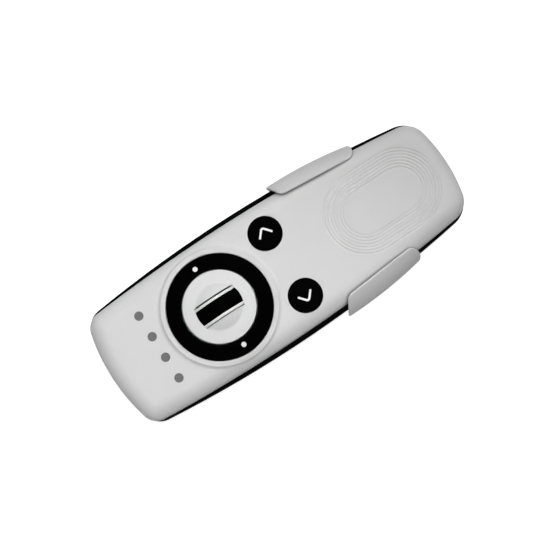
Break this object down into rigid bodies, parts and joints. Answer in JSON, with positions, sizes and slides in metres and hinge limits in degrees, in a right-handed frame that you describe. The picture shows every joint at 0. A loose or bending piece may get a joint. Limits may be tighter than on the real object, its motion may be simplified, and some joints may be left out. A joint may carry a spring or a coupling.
{
  "type": "smart remote control",
  "caption": "Slim bowed hand-held smart remote with a tilting dial ring, thumb wheel, push buttons and status lamps, gripped by a low slide-in holder.",
  "frame": {"origin": "centre of the bounding box in plan, on the plane that the holder's pad rests on", "axes": "+X along the body towards the coil end, +Y across it, +Z out of the front face"},
  "size_m": [0.1202, 0.0466, 0.0232],
  "materials": {
    "cover_grey": "fine satin moulded, light grey",
    "dial_grey": "smooth satin, light grey",
    "wheel_grey": "smooth semi-gloss, light grey",
    "holder_grey": "fine satin moulded, light grey",
    "shell_black": "fine matt moulded, black",
    "ring_black": "soft-touch matt, black",
    "button_black": "soft-touch matt, black",
    "tread_black": "fine-ribbed rubber, black",
    "mark_white": "smooth inlay, white",
    "lamp_grey": "smoked light pipe, grey",
    "led_white": "moulded package, off-white",
    "board_green": "solder resist, green",
    "can_metal": "tinned shielding can",
    "inner_black": "plain moulded, black",
    "inner_grey": "plain moulded, grey",
    "cell_foil": "foil pouch, silver",
    "coil_copper": "enamelled copper winding",
    "ferrite_dark": "ferrite sheet, dark grey",
    "steel": "plated steel",
    "silicone": "translucent silicone",
    "seal_black": "matt rubber, black",
    "pad_foam": "closed-cell foam, dark grey"
  },
  "bodies": {
    "holder": {"holder": "holder_grey", "adhesive_pad": "pad_foam"},
    "remote": {"front_cover": "cover_grey", "rear_housing": "shell_black", "housing_seal": "seal_black", "housing_screws": "steel", "rocker_cradle": "inner_grey", "rocker_switch_upper": "inner_black", "rocker_switch_lower": "inner_black", "dial_disc": "dial_grey", "axle_bracket": "inner_grey", "wheel_encoder": "inner_black", "upper_dome": "silicone", "lower_dome": "silicone", "led_window_1": "lamp_grey", "led_window_2": "lamp_grey", "led_window_3": "lamp_grey", "led_window_4": "lamp_grey", "led_chip_1": "led_white", "led_chip_2": "led_white", "led_chip_3": "led_white", "led_chip_4": "led_white", "circuit_board": "board_green", "board_screws": "steel", "controller_module": "can_metal", "battery_connector": "led_white", "battery_cell": "cell_foil", "coil_antenna": "coil_copper", "ferrite_sheet": "ferrite_dark"},
    "rocker": {"rocker_ring": "ring_black", "ring_dot_upper": "mark_white", "ring_dot_lower": "mark_white"},
    "wheel": {"wheel_hub": "wheel_grey", "wheel_tread": "tread_black", "wheel_axle": "steel"},
    "upper_button": {"upper_button": "button_black", "upper_chevron": "mark_white"},
    "lower_button": {"lower_button": "button_black", "lower_chevron": "mark_white"}
  },
  "joints": [
    {"name": "remote_slide", "type": "slide", "parent": "holder", "child": "remote", "axis": [-1, 0, 0], "range_m": [0, 0.055]},
    {"name": "rocker_tilt", "type": "hinge", "parent": "remote", "child": "rocker", "pos_m": [-0.02115, 0, 0.0146], "axis": [1, 0, 0], "range_deg": [-2, 2], "stiffness_Nm_per_rad": 0.67},
    {"name": "wheel_spin", "type": "hinge", "parent": "remote", "child": "wheel", "pos_m": [-0.02115, 0, 0.0137], "axis": [0, 1, 0], "continuous": true},
    {"name": "upper_press", "type": "slide", "parent": "remote", "child": "upper_button", "axis": [0, 0, -1], "range_m": [0, 0.0007], "stiffness_N_per_m": 1500, "deforming": ["upper_dome"]},
    {"name": "lower_press", "type": "slide", "parent": "remote", "child": "lower_button", "axis": [0, 0, -1], "range_m": [0, 0.0007], "stiffness_N_per_m": 1500, "deforming": ["lower_dome"]}
  ]
}
